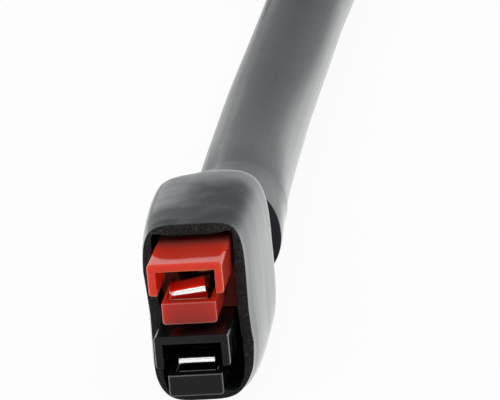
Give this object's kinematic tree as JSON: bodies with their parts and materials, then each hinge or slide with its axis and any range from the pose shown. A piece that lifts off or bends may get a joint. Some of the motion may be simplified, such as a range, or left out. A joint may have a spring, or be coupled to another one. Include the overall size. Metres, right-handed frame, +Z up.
{
  "type": "power adapter cable",
  "caption": "Power adapter cable with stacked red and black single-pole hermaphroditic connectors in a heat-shrunk boot, on a round black cable that ends in a coaxial plug.",
  "frame": {"origin": "on the table under the connector end, halfway across it and halfway between the mating faces and the rear end of the boot", "axes": "+Y back from the mating faces along the cable, +X to the right as seen from the mating side, +Z up from the black connector to the red one"},
  "size_m": [0.1071, 0.2145, 0.0194],
  "materials": {
    "red_plastic": "gloss",
    "black_plastic": "gloss",
    "contact_silver": "silver-plated copper alloy, bright",
    "spring_steel": "bright rolled",
    "copper": "stranded copper",
    "red_insulation": "matt",
    "black_insulation": "matt",
    "boot_shrink": "satin heat-shrunk tube",
    "cable_jacket": "satin",
    "plug_black": "fine moulded",
    "plug_nickel": "nickel-plated brass",
    "plug_brass": "gold-plated brass"
  },
  "bodies": {
    "root": {"red_housing": "red_plastic", "black_housing": "black_plastic", "red_contact": "contact_silver", "black_contact": "contact_silver", "red_spring": "spring_steel", "black_spring": "spring_steel", "red_strands": "copper", "black_strands": "copper", "red_core": "red_insulation", "black_core": "black_insulation", "boot": "boot_shrink", "cable": "cable_jacket", "plug_grip": "plug_black", "plug_sleeve": "plug_nickel", "plug_liner": "plug_black", "plug_tip": "plug_brass"}
  },
  "joints": []
}
